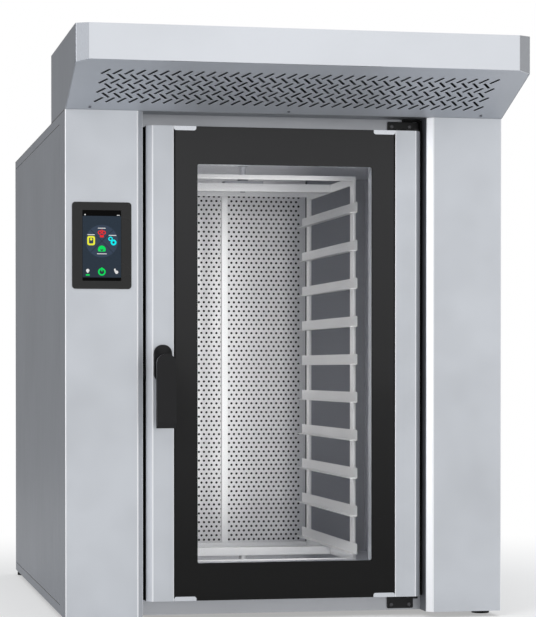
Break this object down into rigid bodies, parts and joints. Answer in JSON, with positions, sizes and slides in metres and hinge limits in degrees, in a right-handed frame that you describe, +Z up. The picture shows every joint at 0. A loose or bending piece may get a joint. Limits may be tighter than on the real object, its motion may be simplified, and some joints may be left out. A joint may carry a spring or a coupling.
{
  "type": "rotating rack oven",
  "caption": "Stainless steel convection oven with a turning rack behind a wide glass door, a touch control on the left pillar and a slotted steam hood above.",
  "frame": {"origin": "on the floor, under the middle of the oven's overall box, hood included", "axes": "+Z up, the door faces -Y, +X to the right of someone facing the door"},
  "size_m": [0.93, 1.387, 1.2444],
  "materials": {
    "brushed": "brushed",
    "side_steel": "satin",
    "dark_steel": "satin",
    "bright_steel": "polished",
    "black_metal": "satin",
    "grey_metal": "satin",
    "blue_metal": "satin",
    "black_rubber": "matt",
    "black_plastic": "matt",
    "black_gloss": "gloss",
    "screen_glass": "gloss",
    "dark_glass": "gloss",
    "clear_glass": "gloss",
    "lamp_glass": "gloss",
    "wool": "matt",
    "copper_pipe": "satin",
    "brass": "satin",
    "aluminium": "satin"
  },
  "bodies": {
    "oven": {"feet": "black_rubber", "chassis_frame": "grey_metal", "pillar_left": "brushed", "pillar_right": "brushed", "side_panel_left": "side_steel", "side_panel_right": "side_steel", "back_panel": "side_steel", "roof_panel": "side_steel", "front_bulkhead": "brushed", "door_gasket": "black_rubber", "hinge_side_seal": "black_rubber", "hinge_brackets": "black_metal", "hinge_pins": "dark_steel", "fixing_screws": "black_metal", "latch_keeper": "dark_steel", "chamber_shell": "dark_steel", "air_diffuser": "bright_steel", "duct_side_panels": "dark_steel", "insulation": "wool", "motor_plate": "side_steel", "fan_motors": "grey_metal", "heater_rings": "dark_steel", "chamber_lamps": "lamp_glass", "temperature_probe": "bright_steel", "steam_pipe": "copper_pipe", "water_inlet": "brass", "drain_pipe": "side_steel", "flue_pipe": "side_steel", "damper_actuator": "black_plastic", "shaft_bearing": "grey_metal", "rack_gearmotor": "blue_metal", "pivot_plate": "side_steel", "control_bezel": "black_gloss", "touch_screen": "screen_glass", "control_box": "black_plastic", "electrical_box": "grey_metal", "cable_gland": "black_plastic", "hood_shell": "brushed", "hood_lip": "brushed", "hood_underside": "brushed", "exhaust_duct": "side_steel", "blower_motor": "grey_metal"},
    "door": {"door_pan": "side_steel", "door_profile_left": "brushed", "door_profile_right": "brushed", "door_glass_outer": "dark_glass", "door_glass_inner": "clear_glass", "glass_clips": "bright_steel", "handle_rose": "black_metal"},
    "handle": {"handle_lever": "black_metal", "handle_spindle": "bright_steel", "latch_hook": "dark_steel"},
    "rack": {"rack_frame": "bright_steel", "rack_runners": "bright_steel", "drive_shaft": "dark_steel", "rack_hanger": "dark_steel"},
    "upper_fan": {"fan_wheel_upper": "aluminium"},
    "lower_fan": {"fan_wheel_lower": "aluminium"},
    "hood_impeller": {"blower_impeller": "black_plastic"},
    "flue_damper": {"damper_flap": "side_steel"}
  },
  "joints": [
    {"name": "door_hinge", "type": "hinge", "parent": "oven", "child": "door", "pos_m": [0.28396, -0.45445, 0.535], "axis": [0, 0, 1], "range_deg": [0, 100]},
    {"name": "handle_turn", "type": "hinge", "parent": "door", "child": "handle", "pos_m": [-0.26095, -0.48646, 0.538], "axis": [0, -1, 0], "range_deg": [0, 75]},
    {"name": "rack_spin", "type": "hinge", "parent": "oven", "child": "rack", "pos_m": [0, 0.0155, 0.535], "axis": [0, 0, 1], "continuous": true},
    {"name": "upper_fan_spin", "type": "hinge", "parent": "oven", "child": "upper_fan", "pos_m": [0, 0.44845, 0.7505], "axis": [0, 1, 0], "continuous": true},
    {"name": "lower_fan_spin", "type": "hinge", "parent": "oven", "child": "lower_fan", "pos_m": [0, 0.44845, 0.322], "axis": [0, 1, 0], "continuous": true},
    {"name": "impeller_spin", "type": "hinge", "parent": "oven", "child": "hood_impeller", "pos_m": [0, -0.34646, 1.098], "axis": [0, 0, 1], "continuous": true},
    {"name": "damper_turn", "type": "hinge", "parent": "oven", "child": "flue_damper", "pos_m": [0.25, 0.45671, 1.093], "axis": [1, 0, 0], "range_deg": [0, 90]}
  ]
}
